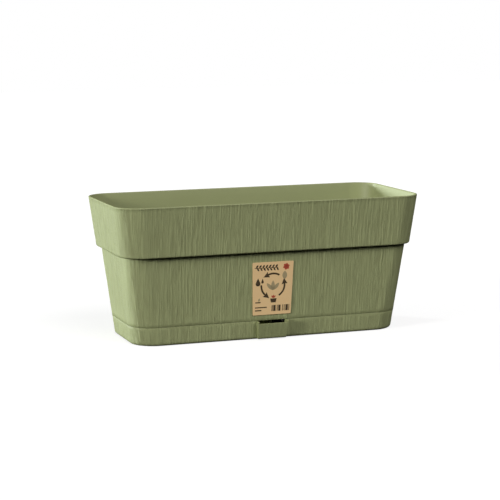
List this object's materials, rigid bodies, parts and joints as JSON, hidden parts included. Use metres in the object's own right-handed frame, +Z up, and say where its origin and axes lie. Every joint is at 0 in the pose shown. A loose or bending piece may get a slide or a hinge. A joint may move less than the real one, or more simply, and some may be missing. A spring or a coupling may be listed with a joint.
{
  "type": "self watering planter",
  "caption": "Long rectangular planter box with a deep overhanging rim band, a plug-on reservoir tray with a front filler spout, a perforated grid insert, wick baskets and felt wicks.",
  "frame": {"origin": "centre of the planter's footprint, on the surface it stands on", "axes": "+X along the length, -Y towards the front with the filler spout and the card, +Z up"},
  "size_m": [0.4, 0.18, 0.175],
  "materials": {
    "green_plastic": "satin-matt moulded plastic, olive sage green, with a fine upright bark grain outside and smooth inside",
    "dark_plastic": "matt moulded plastic, dark grey-green",
    "kraft_card": "uncoated brown kraft card with plain printed signs",
    "wick_felt": "needled off-white felt"
  },
  "bodies": {
    "tray": {"reservoir_tray": "green_plastic"},
    "box": {"planter_box": "green_plastic", "product_label": "kraft_card"},
    "insert": {"soil_grid": "dark_plastic", "wick_basket_1": "dark_plastic", "wick_basket_2": "dark_plastic", "wick_basket_3": "dark_plastic", "wick_basket_4": "dark_plastic", "felt_wick_1": "wick_felt", "felt_wick_2": "wick_felt", "felt_wick_3": "wick_felt", "felt_wick_4": "wick_felt"}
  },
  "joints": [
    {"name": "box_lift", "type": "slide", "parent": "tray", "child": "box", "axis": [0, 0, 1], "range_m": [0, 0.08]},
    {"name": "insert_lift", "type": "slide", "parent": "box", "child": "insert", "axis": [0, 0, 1], "range_m": [0, 0.19]}
  ]
}
